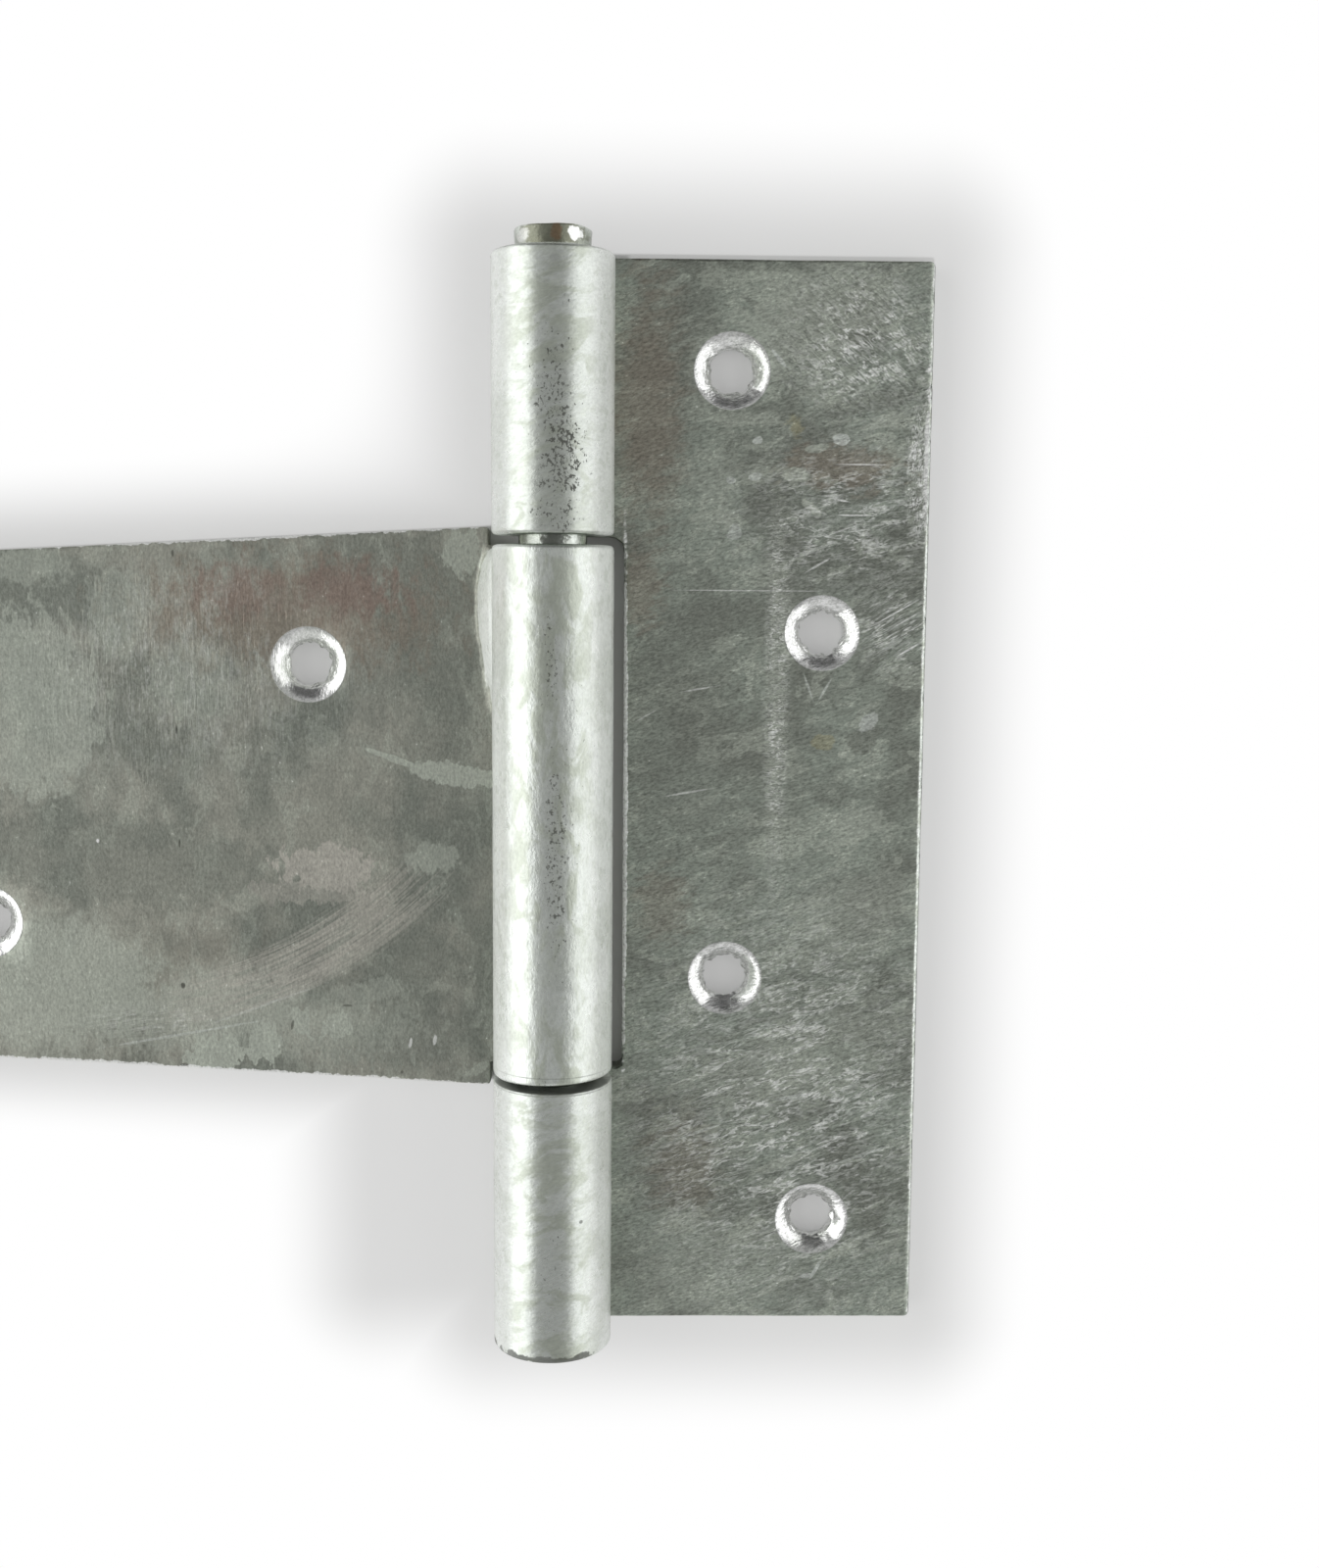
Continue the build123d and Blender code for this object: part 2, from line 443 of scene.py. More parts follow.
def feed(socket, value):
    """Links an input to another node's output, or sets it to a plain value."""
    if isinstance(value, bpy.types.NodeSocket):
        socket.id_data.links.new(value, socket)
    else:
        socket.default_value = value


def fed(node, *values):
    """Feeds a node's first inputs in order, and gives the node back."""
    for socket, value in zip(node.inputs, values):
        feed(socket, value)
    return node


def calc(operation, *values, clamp=False):
    node = put(tree_of(*values), "ShaderNodeMath", operation=operation, use_clamp=clamp)
    return fed(node, *values).outputs[0]


plus = partial(calc, "ADD")
minus = partial(calc, "SUBTRACT")
times = partial(calc, "MULTIPLY")
times_plus = partial(calc, "MULTIPLY_ADD")
unsigned = partial(calc, "ABSOLUTE")
most = partial(calc, "MAXIMUM")
least = partial(calc, "MINIMUM")


def calc_vector(operation, *values):
    return fed(put(tree_of(*values), "ShaderNodeVectorMath", operation=operation), *values).outputs


def parts(place):
    """The three coordinates of a place."""
    return fed(put(tree_of(place), "ShaderNodeSeparateXYZ"), place).outputs


def joined(*values):
    """A place made of its coordinates."""
    return fed(put(tree_of(*values), "ShaderNodeCombineXYZ"), *values).outputs[0]


def blend(share, first, second, kind="MIX"):
    node = put(tree_of(share, first, second), "ShaderNodeMix", data_type="RGBA", blend_type=kind)
    feed(node.inputs[0], share)
    for socket, value in zip(node.inputs[6:8], (first, second)):
        feed(socket, value if isinstance(value, bpy.types.NodeSocket) else (*value, 1.0))
    return node.outputs[2]


def mixed(share, first, second):
    """A plain number between two others."""
    node = put(tree_of(share, first, second), "ShaderNodeMix")
    feed(node.inputs[0], share)
    feed(node.inputs[2], first)
    feed(node.inputs[3], second)
    return node.outputs[0]


def ease(value, low, high, start=0.0, end=1.0):
    """Rises softly from start to end as value goes from low to high."""
    node = put(tree_of(value), "ShaderNodeMapRange", interpolation_type="SMOOTHSTEP")
    return fed(node, value, low, high, start, end).outputs[0]


def placed(place, centre=(0, 0, 0), turn=0.0, size=(1, 1, 1)):
    """The place seen from a centre, along a turned and stretched set of axes."""
    node = put(tree_of(place), "ShaderNodeMapping", vector_type="TEXTURE")
    return fed(node, place, centre, (0.0, 0.0, math.radians(turn)), size).outputs[0]


def place_on(tree):
    """The place on the piece itself, in millimetres."""
    return placed(put(tree, "ShaderNodeTexCoord").outputs["Object"], size=(MM, MM, MM))


def grain(place, size, detail=3.0, roughness=0.55, distortion=0.0):
    """Cloudy noise whose lumps are about size millimetres across."""
    node = put(tree_of(place), "ShaderNodeTexNoise")
    feed(node.inputs["Vector"], place)
    node.inputs["Scale"].default_value = 1.0 / size
    node.inputs["Detail"].default_value = detail
    node.inputs["Roughness"].default_value = roughness
    node.inputs["Distortion"].default_value = distortion
    return node.outputs[0]


def spot(lie, ragged, centre, radii, turn=0, soft=0.4, rough=0.5, strength=1.0):
    """An oval with a ragged outline, strength inside it. lie keeps the place for each turn."""
    if turn not in lie:
        lie[turn] = placed(lie[0], turn=turn)
    across, along = math.cos(math.radians(turn)), math.sin(math.radians(turn))
    x, y, z = (*centre, SHEET_TOP)[:3]
    middle = (x * across + y * along, y * across - x * along, z)
    sizes = (*radii, MARK_DEPTH)[:3]
    shrunk = [1 / size for size in sizes]
    shift = [-at / size for at, size in zip(middle, sizes)]
    local = calc_vector("MULTIPLY_ADD", lie[turn], shrunk, shift)[0]
    reach = calc_vector("LENGTH", local)["Value"]
    uneven = times_plus(ragged, rough, reach) if rough else reach
    rim = 1.0 + 0.2 * rough
    return ease(uneven, rim, rim - soft, 0.0, strength)


def spots(lie, ragged, rows):
    """The strongest of several spots, each with its own strength."""
    total = None
    for strength, centre, radii, turn, soft, rough in rows:
        mask = spot(lie, ragged, centre, radii, turn, soft, rough, strength)
        total = most(total, mask) if total else mask
    return total


# Marks on the zinc, in millimetres: strength, centre, radii, turn, softness, raggedness

FLAP_MARKS = {
    "dark": (
        # Painted shade along the flap's top edge
        (0.6, (38, 87.9), (20, 0.8), 0, 0.5, 1.2),
        (0.5, (21, 12), (10, 26), 0, 0.7, 1.4),
        (0.4, (20, 70), (8, 18), 0, 0.8, 1.0),
        (0.6, (33.1, 81.1), (3.4, 0.7), -40, 0.3, 1.0),
        (0.5, (14.6, 79.8), (3.2, 6.5), 0, 0.7, 1.2),
        (0.7, (49.3, 52.4), (5.1, 1.9), 0, 0.3, 1.4),
        (0.6, (50.6, 66.4), (5.9, 1.4), 10, 0.3, 1.4),
        (0.7, (40.9, 56.6), (7.6, 0.6), 0, 0.3, 1.6),
        (0.6, (36.9, 58.7), (4.9, 0.5), 10, 0.3, 1.6),
        (0.8, (51.4, 11.1), (2.8, 1.8), 30, 0.25, 1.4),
        (0.6, (59, 30.2), (3.2, 0.9), 30, 0.4, 1.2),
        (0.4, (44, -30), (10, 5), 20, 0.3, 2.0),
        (0.5, (46.8, -38.8), (5.4, 1.5), 10, 0.3, 1.4),
        (0.55, (43.7, -51.9), (5.9, 1.4), 10, 0.3, 1.4),
        (0.55, (55.6, -61), (5.1, 1), 20, 0.3, 1.2),
        (0.3, (23.2, -65), (6.5, 3.2), 0, 0.5, 1.4),
        (0.25, (27.8, -79.1), (6.5, 1.8), 0, 0.4, 1.4),
    ),
    "warm": (
        (0.5, (15, 66), (7, 24), 0, 0.9, 0.9),
        (0.5, (47, 56), (10, 3.5), 0, 0.7, 1.4),
        (0.4, (14, 36), (4, 7), 0, 0.7, 1.2),
        (0.3, (18, -17), (5, 6), 0, 0.7, 1.2),
        (0.3, (22, -62), (7, 9), 0, 0.8, 1.2),
    ),
    "pale": (
        (0.55, (42, 80), (13, 7), 20, 0.6, 1.8),
        (0.45, (38, 83.1), (6.5, 3), -20, 0.6, 2.2),
        (0.35, (44.7, 69.5), (5.1, 2.6), -10, 0.6, 2.4),
        (0.5, (30.1, 63.9), (3.9, 1.1), 0, 0.4, 2.6),
        (0.8, (42.8, 59.2), (1.6, 0.6), 10, 0.2, 1),
        (0.8, (39.6, 54.8), (2.4, 1.1), 0, 0.2, 1.2),
        (0.4, (26.9, 48.1), (3, 1.5), 10, 0.4, 2.4),
        (0.8, (42.1, 49.5), (1.7, 0.7), -40, 0.2, 0.8),
        (0.6, (54.4, 63.5), (3.4, 1), 10, 0.2, 1.4),
        (0.3, (25.8, 54.4), (3.2, 4.2), 0, 0.7, 2.4),
        (0.5, (49.1, -3.4), (4.3, 2.1), 10, 0.3, 2.6),
        (0.3, (50, -18), (9, 4), 20, 0.4, 3.0),
        (0.55, (36.7, 19), (2.1, 38), 0, 0.9, 0.7),
        (0.3, (27, -80), (12, 7), 10, 0.8, 2.0),
        (0.8, (48, 8.9), (0.9, 0.55), 0, 0.2, 0.8),
        (0.7, (23, -46.8), (3.4, 0.4), 20, 0.3, 1.2),
        (0.6, (36.8, -38.8), (2.8, 0.7), 0, 0.3, 1.6),
        (0.5, (41.3, -44.8), (3.4, 1.5), 10, 0.2, 1.8),
        (0.6, (40.5, -60.9), (4.1, 0.65), 20, 0.2, 1.8),
        (0.6, (33.4, -73.7), (2.7, 1.3), 30, 0.2, 1.8),
        (0.5, (21.5, -71.9), (3.2, 1.4), 20, 0.2, 1.8),
        (0.6, (49.8, -76.9), (4.6, 0.6), 30, 0.2, 1.4),
        (0.5, (57.1, -76), (3.2, 0.55), 20, 0.2, 1.4),
        (0.5, (37.5, -83.8), (3.9, 0.55), 30, 0.2, 1.6),
        (0.35, (42, -44), (15, 6), 20, 0.7, 2.5),
    ),
    "yellow": (
        (0.45, (39.2, 62.6), (1.2, 1.4), 0, 0.7, 1.6),
        (0.4, (44.7, 11.1), (1.6, 1.1), 0, 0.3, 1.4),
    ),
    "bright": (
        (0.7, (36.3, 73.5), (1.6, 0.32), -50, 0.3, 0.8),
        (0.7, (33.1, 60.3), (0.9, 0.65), 10, 0.2, 0.8),
        (0.7, (46.7, 60.7), (1.3, 0.9), -10, 0.2, 0.8),
        (0.6, (28.8, 53.9), (0.8, 0.55), 0, 0.2, 0.8),
        (0.6, (32.8, 54.5), (1.1, 0.7), 0, 0.2, 0.8),
        (0.5, (29.5, 45.5), (1, 1.1), 0, 0.2, 1),
        (0.6, (52.3, 14.6), (1.7, 0.9), 40, 0.2, 1.2),
        (0.5, (42.1, 20.1), (2.4, 0.25), -70, 0.5, 0.5),
        (0.6, (44.8, 19.7), (2.3, 0.27), 60, 0.5, 0.5),
        (0.6, (41.4, -49.7), (3.1, 0.32), 10, 0.3, 1),
        (0.5, (23.6, -56.4), (4.4, 0.2), 20, 0.4, 1.2),
        (0.45, (51.7, -60.4), (7.6, 0.2), 20, 0.4, 0.8),
        (0.7, (45.2, -80.4), (1.8, 0.32), 60, 0.4, 0.8),
        (0.6, (43.5, -81.6), (1.1, 0.4), 10, 0.4, 0.8),
    ),
    "glint": (
        # Painted highlights: a line along the free edge, a ragged bright patch beside it, and a
        # line along the notch's edge
        (0.9, (61.5, 0), (0.62, 100), 0, 0.4, 0.8),
        (0.8, (61.2, 57), (0.8, 13), 0, 0.7, 1.8),
        (1.0, (11.6, 0), (0.6, 42.5), 0, 0.3, 0.8),
        (0.7, (46.9, 50.8), (1.4, 0.16), -10, 0.6, 0.6),
        (0.7, (49.4, 48.4), (3.5, 0.16), 0, 0.6, 0.6),
        (0.5, (47, 45.9), (3.2, 0.16), 20, 0.6, 0.6),
        (0.6, (50.3, 56.6), (4.3, 0.16), 0, 0.6, 0.8),
        (0.7, (56.2, 32.5), (5, 0.16), 30, 0.6, 0.5),
        (0.8, (58.6, 26.5), (2.6, 0.18), 30, 0.6, 0.5),
        (0.6, (57.8, 31.2), (3.2, 0.16), 30, 0.6, 0.5),
        (0.5, (23.7, 19.7), (3.5, 0.16), 10, 0.6, 0.8),
        (0.45, (22.5, 2.5), (4.4, 0.16), 10, 0.6, 0.8),
        (0.35, (15.3, 15.3), (2.7, 0.16), 30, 0.6, 0.8),
        (0.5, (43.6, 40.4), (2.7, 0.16), 30, 0.6, 0.8),
        (0.45, (32, 36), (14, 0.14), 0, 0.5, 0.3),
    ),
    "worn": ((1.0, (61.5, 0), (0.62, 100), 0, 0.3, 0.4),),
    "pits_and_shade": (
        # Painted shade on the lower knuckle's end in the lower gap
        (0.9, (0.0, -44.7, 13.0), (11, 0.25, 9), 0, 0.3, 0.2),
        (0.9, (0.0, -89.9, 18.0), (6.5, 0.7, 4.0), 0, 0.5, 2.2),
        # Painted shade along the flap's top edge
        (0.6, (38, 88.85), (24, 0.3), 0, 0.4, 1.0),
        (0.9, (-9.4, -89.5, 11.0), (0.6, 0.5, 2.5), -40, 0.5, 1.2),
        # Painted shade on the knuckles' ends: under the pin's head and at both gaps
        (0.55, (0.0, 88.3, 15.5), (10.5, 0.35, 8.5), 0, 0.6, 0.6),
        (0.45, (0.0, 45.0, 15.5), (10.5, 0.2, 8.5), 0, 0.6, 0.6),
        (0.5, (0.0, -45.1, 15.5), (10.5, 0.2, 8.5), 0, 0.6, 0.6),
        (0.4, (1.0, 86.0, 19.5), (1.2, 1.4, 2.0), 0, 0.9, 2.0),
        (0.7, (5.0, -66.5, 18.3), (0.3, 0.3, 1.0), 0, 0.5, 0.6),
    ),
}

# Wrinkles: strength, turn, length and width of one fold, centre and reach of the patch
FLAP_WRINKLES = (
    (1.0, 17, (3.6, 0.9), (40, -52), (36, 46)),
    (1.3, -38, (2.6, 0.7), (50, 76), (17, 15)),
    (0.9, 4, (3.2, 0.9), (48, 48), (24, 16)),
    (1.4, 0, (1.2, 0.4), (36.7, 19), (2.6, 40)),
    (1.1, 30, (4.5, 0.55), (56, 30), (9, 10)),
    (2.4, 80, (1.5, 0.5), (60.0, 56), (3.2, 14)),
)

STRAP_MARKS = {
    "dark": (
        (0.45, (-71.9, -9.8), (22, 6.8), -5, 0.15, 0.8),
        (0.6, (-84.6, 33.5), (7.8, 2.4), -10, 0.3, 1.2),
        (0.4, (-68.8, 15.8), (5.1, 7.4), 0, 0.3, 1.4),
        (0.75, (-21, 35), (10, 10), 0, 0.7, 1.2),
        (0.4, (-26.8, 22.9), (14, 10), 0, 0.7, 1),
        (0.4, (-19, 5), (7, 18), 0, 0.6, 1.2),
        (0.6, (-23.9, -28), (8.4, 3.7), 30, 0.25, 1.2),
        (0.5, (-27.4, -40.4), (10, 3.7), 0, 0.3, 1.4),
    ),
    "warm": ((0.6, (-43, 32), (27, 10), 0, 0.9, 1.2), (0.2, (-70, -32), (26, 13), 0, 0.7, 0.8)),
    "red": ((0.6, (-33, 35.5), (10, 5), 0, 0.9, 1.2), (0.5, (-52, 35.5), (8, 5), 0, 0.9, 1.2)),
    "pale": (
        (0.55, (-86.9, 16.7), (11, 14), 10, 0.2, 0.9),
        (0.4, (-71.4, 31.6), (4.5, 6.8), -10, 0.15, 0.9),
        (0.4, (-85.7, 39.1), (6.1, 2.7), 0, 0.5, 1.6),
        (0.35, (-59, 20.6), (6.1, 5.7), 0, 0.2, 1.4),
        (0.8, (-26.6, 7.8), (5.3, 0.54), -20, 0.15, 0.6),
        (0.8, (-16.8, 5.2), (6.4, 1.8), -10, 0.12, 0.8),
        (0.7, (-15.2, 42), (2.8, 3.2), 0, 0.15, 1.2),
        (0.9, (-57.1, -42.3), (3.2, 2.7), 0, 0.15, 2.4),
        (0.9, (-49.3, -40.6), (2.3, 2.7), 0, 0.15, 2.2),
        (0.85, (-42.7, -36.9), (1.4, 2.6), 10, 0.15, 1.8),
        (0.8, (-36.4, -37.6), (2, 1.8), 20, 0.15, 2.4),
        (0.35, (-31.5, -31.9), (5.7, 1.5), 10, 0.4, 2.4),
        (0.5, (-20.3, -8.9), (3.9, 2.4), 0, 0.3, 1.4),
        (0.7, (-82.8, -30.7), (20, 12), 0, 0.5, 0.8),
        (0.6, (-58, -35), (18, 8), 0, 0.6, 1.0),
        (0.4, (-38, -38), (14, 6), 0, 0.7, 1.6),
        (0.5, (-13.2, -45.2), (2.2, 0.7), 30, 0.3, 1.2),
    ),
    "scuff": (
        (0.8, (-38.4, -10.3), (7.1, 3.1), 0, 0.15, 1.4),
        (0.4, (-41.5, -14.5), (7.6, 1.6), 0, 0.2, 1.8),
    ),
    "bright": (
        (0.45, (-49, -34.1), (10, 0.24), 20, 0.5, 0.8),
        (0.4, (-62.5, -39.1), (14, 0.24), 10, 0.5, 0.8),
    ),
    "glint": (
        (0.9, (-75.9, -6.2), (0.35, 0.45), 0, 0.5, 0.6),
        (0.6, (-24.3, -40.5), (0.3, 1.0), -10, 0.5, 0.8),
        (0.6, (-20.2, -40.1), (0.3, 1.0), -10, 0.5, 0.8),
        # Painted highlights along the strap's upper and lower edges
        (0.8, (-45, 44.3), (26, 0.3), 3.2, 0.5, 2.5),
        (0.8, (-55, -45.3), (36, 0.3), -3.2, 0.5, 2.5),
    ),
    "pits_and_shade": (
        (0.7, (-62.3, 41.4), (0.25, 0.6), 0, 0.5, 0.8),
        (0.7, (-62.4, 12.4), (0.18, 0.9), 0, 0.5, 0.8),
        (0.7, (-62.4, -6.5), (0.16, 0.8), 0, 0.5, 0.8),
        (0.8, (-62.4, -30.8), (0.36, 0.55), 0, 0.5, 1.2),
        (0.7, (-62.6, -44.5), (0.7, 0.25), 0, 0.5, 0.8),
        (0.6, (-25.8, -45.6), (0.3, 0.3), 0, 0.5, 0.6),
        (0.7, (-44.2, -37.5), (0.27, 1.0), -10, 0.4, 0.6),
        (0.6, (-34.9, -34.1), (0.88, 0.24), 0, 0.4, 0.6),
        (0.6, (-50, 44.1), (9, 0.14), 3.2, 0.5, 2.0),
        (0.7, (-30, 45.2), (5, 0.16), 3.2, 0.5, 2.0),
        # Painted shade on the lips of the middle knuckle's ends beside both gaps
        (0.45, (0.0, -42.2, 15.5), (10.5, 0.18, 8.5), 0, 0.6, 0.5),
        (0.4, (0.0, 42.7, 15.5), (10.5, 0.2, 8.5), 0, 0.6, 0.5),
    ),
}

STRAP_WRINKLES = (
    (0.35, 90, (5.0, 0.5), (-60, 22), (36, 24)),
    (0.5, 9, (10.0, 0.5), (-68, -37), (14, 4)),
)

# Brush strokes along an arc: centre, inner and outer radius, and their start and end across it
STRAP_BRUSH = ((-79.0, 45.7), (75.5, 86.5), (0.12, 0.70))

PIN_MARKS = {
    # Darkens the pin's crown inside the upper gap
    "pits_and_shade": ((0.9, (0.3, 43.8, 15.4), (1.9, 1.4, 1.6), 0, 0.5, 1.6),),
    "tarnish": ((0.9, (0.0, 90.6, 15.5), (5.6, 1.9, 20), 0, 0.3, 0.6),),
    "rust": ((0.7, (0.8, 90.8, 16), (0.8, 1.6, 4), 0, 0.6, 1.2),),
    "glint": (
        # Painted highlights on both sides of the pin's head
        (1.0, (3.7, 90.6, 14.5), (1.1, 0.9, 4), 0, 0.3, 1.2),
        (0.5, (-4.6, 90.4, 14.0), (1.0, 0.9, 4), 0, 0.5, 1.2),
    ),
}


def lay_tones(finish, coat, marks, lie, ragged):
    """Lays the marks' colours over the coat, one tone after the other."""
    for tone, rows in marks.items():
        if tone not in ("glint", "worn", "pits_and_shade"):
            coat = blend(spots(lie, ragged, rows), coat, getattr(finish, tone))
    return coat


def wrinkled(lie, ragged, wrinkles):
    """Thin wavy folds of zinc, one way in each patch: crests for painted highlights, shaded sides
    for painted shade, and relief.
    """
    crests = shades = relief = 0.0
    for strength, turn, (long, thin), centre, reach in wrinkles:
        stretched = placed(lie[0], turn=turn, size=(long, thin, 4.0))
        folds = grain(stretched, 1.0, 2, 0.6, 0.7)
        patch = spot(lie, ragged, centre, reach, 0, 0.9, 0.8, strength)
        crest = ease(unsigned(minus(folds, 0.52)), 0.085, 0.02)
        shade = ease(unsigned(minus(folds, 0.43)), 0.05, 0.01)
        crests = times_plus(crest, patch, crests)
        shades = times_plus(shade, patch, shades)
        relief = times_plus(folds, patch, relief)
    return crests, shades, times(relief, 0.22)


def brushed(place, brush):
    """Bristle marks along an arc: their share."""
    centre, (inner, outer), (start, end) = brush
    spoke = calc_vector("SUBTRACT", place, (*centre, SHEET_TOP))[0]
    far = calc_vector("LENGTH", spoke)["Value"]
    x, y, _ = parts(spoke)
    swing = calc("DIVIDE", x, far)
    bristles = grain(joined(times(far, 2.3), times(swing, 7.0)), 1.0, 3, 0.6)
    wander = times_plus(bristles, 6.0, -3.0)
    ragged_end = times_plus(bristles, 0.5, minus(swing, 0.25))
    inside = plus(far, wander)
    share = times(ease(inside, inner, inner + 2.5), ease(inside, outer, outer - 1.5))
    share = times(share, ease(ragged_end, start, start + 0.3))
    share = times(share, ease(ragged_end, end, end - 0.03))
    share = times(share, ease(y, -40.0, -46.0))
    return times(share, ease(bristles, 0.3, 0.62, 0.15, 1.0))


def flaked(place, turn, size, wander):
    """Sharp-edged flakes of zinc, each with one random tone from 0 to 1."""
    moved = calc_vector("ADD", wander, placed(place, turn=turn, size=size))[0]
    cells = fed(put(tree_of(moved), "ShaderNodeTexVoronoi", feature="F1"), moved)
    tones = put(tree_of(moved), "ShaderNodeSeparateColor")
    return fed(tones, cells.outputs["Color"]).outputs[0]


def zinc(
    name,
    finish,
    dull,
    marks,
    holes=(),
    wrinkles=(),
    flow=(0, 1.0, 0.4),
    pit_band=(),
    freshness=1.0,
    grit=1.0,
    brush=None,
):
    """Galvanised steel: dull clouded flats, bright knuckles and countersinks, and the marks, with
    painted highlights, a painted sheen on the barrel's sides and painted shade in gaps and along
    edges.

    flow is the turn, the stretch and the strength of the patches, freshness the barrel's
    brightness, and grit the strength of the finest grain on the flats.
    """
    material = bpy.data.materials.new(name)
    material.use_nodes = True
    tree = material.node_tree
    shader = tree.nodes["Principled BSDF"]
    place = place_on(tree)
    lie = {0: place}
    across, along, height = parts(place)

    # Where the surface is a knuckle, where it is the knuckle's side, and where it is a countersink
    rolled = ease(height, 4.35, 5.2)
    flank = times(rolled, ease(unsigned(across), 4.5, 9.0))
    shiny, shine, grit_depth = rolled, 0.17, 0.07
    if holes:
        rows = [(1.0, (x / MM, y / MM, 2.9), (6.35, 6.35, 60), 0, 0.03, 0.0) for x, y in holes]
        sunk = times(spots(lie, 0.0, rows), ease(height, 0.05, 0.4))
        shiny = most(shiny, sunk)
        shine, grit_depth = times_plus(sunk, -0.12, shine), times_plus(sunk, 0.1, grit_depth)
    if "worn" in marks:
        shiny = most(shiny, spots(lie, 0.0, marks["worn"]))

    # Clouds of duller and paler zinc, ragged patches along the flow, flakes where it is thick
    turn, stretch, patchy = flow
    streams = placed(place, turn=turn, size=(stretch, 1.0, 1.0))
    clouds = grain(place, 15, 3, 0.6)
    mottle = grain(streams, 3.6, 5, 0.6, 0.9)
    blotch = grain(placed(streams, (-12, 40, 5)), 1.5, 3, 0.62)
    fine = grain(streams, 0.42, 2, 0.75)
    ragged = times_plus(blotch, 1.6, times_plus(mottle, 1.0, -1.3))
    thick = ease(clouds, 0.42, 0.56)
    coat = blend(ease(clouds, 0.36, 0.62), finish.dark, dull)
    coat = blend(ease(mottle, 0.55, 0.57, 0.0, patchy), coat, finish.pale)
    coat = blend(ease(mottle, 0.43, 0.415, 0.0, 0.8 * patchy), coat, finish.dark)
    wander = joined(*(times(swell, 3.0) for swell in (blotch, mottle, blotch)))
    tone = flaked(place, turn, (2.4, 0.9, 2.0), wander)
    busy = times(thick, ease(mottle, 0.44, 0.6))
    coat = blend(times(ease(tone, 0.66, 0.68, 0.0, 1.2 * patchy), busy), coat, finish.pale)
    coat = blend(times(ease(tone, 0.3, 0.28, 0.0, 1.1 * patchy), busy), coat, finish.dark)
    coat = lay_tones(finish, coat, marks, lie, ragged)
    if brush:
        coat = blend(times(brushed(place, brush), 0.75), coat, finish.scuff)

    # Painted highlights in white, matt zinc: worn edges, crests of the wrinkles, the brightest
    # grains
    glints = spots(lie, ragged, marks["glint"])
    sparkle = times(ease(fine, 0.7, 0.76, 0.0, 0.7), ease(mottle, 0.44, 0.6))
    glints = most(glints, sparkle)
    relief = 0.0
    if wrinkles:
        crests, shades, relief = wrinkled(lie, ragged, wrinkles)
        dense = times_plus(ease(mottle, 0.45, 0.55), 0.42, 0.2)
        broken = times(ease(blotch, 0.4, 0.56), dense)
        # Painted shade on one side of each fold; the crests become painted highlights below
        coat = blend(times(least(shades, 1.0), 0.26), coat, finish.pits_and_shade)
        glints = most(glints, times(least(crests, 1.5), broken))
    coat = blend(glints, coat, finish.glint)

    # The barrel's and the countersinks' brighter zinc, with a few duller clouds, a painted sheen
    # on the barrel's sides and painted shade at their outermost edge
    if wrinkles:
        fresh = blend(ease(mottle, 0.46, 0.62), finish.bright, finish.pale)
        # Painted sheen: the barrel's sides in a white matt colour
        fresh = blend(flank, fresh, finish.barrel_side_sheen)
        fresh = blend(sunk, fresh, finish.glint)
        fresh = blend(ease(clouds, 0.5, 0.62, 0.0, 0.3), fresh, finish.pale)
        fresh = blend(1.0, fresh, (freshness, freshness, freshness), "MULTIPLY")
        lumps = ease(blotch, 0.56, 0.6, 0.0, 0.35)
        fresh = blend(times(lumps, rolled), fresh, finish.pale)
        coat = blend(shiny, coat, fresh)
        # Painted shade: the knuckles' outermost sides darker where the barrel turns under, on both
        # sides of the flap's and on the strap's side towards the flap
        side = across if brush else unsigned(across)
        rim = times(rolled, ease(side, 9.3, 9.8, 0.0, 0.25))
        coat = blend(rim, coat, finish.dark)
    speckle = plus(times(minus(fine, 0.5), times_plus(rolled, 0.5 - grit, grit)), 1.0)
    tint = fed(put(tree, "ShaderNodeCombineColor"), speckle, speckle, speckle)
    coat = blend(1.0, coat, tint.outputs[0], "MULTIPLY")

    # Dark pits: a band along the barrel's crown, and single ones on the flats; the same colour is
    # painted shade in the knuckles' gaps and along the flap's top edge
    dots = 0.0
    if pit_band:
        pocks = grain(placed(place, size=(0.55, 0.8, 0.7)), 1.0, 3, 0.7)
        band = spots(lie, ragged, pit_band)
        dots = ease(times_plus(band, 0.2, pocks), 0.74, 0.79)
        dots = times(dots, rolled)
        coat = blend(times(times(band, rolled), 0.2), coat, finish.dark)
    if "pits_and_shade" in marks:
        dots = most(dots, spots(lie, ragged, marks["pits_and_shade"]))
    coat = blend(times(dots, 0.75), coat, finish.pits_and_shade)
    feed(shader.inputs["Base Color"], coat)
    matt = times(glints, minus(1.0, shiny))
    if wrinkles:
        # The painted sheen on the barrel's sides is matt
        matt = most(matt, times(flank, 0.85))
    feed(shader.inputs["Metallic"], times_plus(matt, -1.0, 1.0))

    # Roughness: dull flats, shinier knuckles
    dullness = times_plus(mottle, 0.5, 0.25)
    polish = times_plus(mottle, 0.26, shine)
    if not holes:
        polish = times(polish, ease(unsigned(along), 87.0, 88.4, 0.3, 1.0))
    rough = times_plus(dots, 0.4, mixed(shiny, dullness, polish), clamp=True)
    feed(shader.inputs["Roughness"], rough)

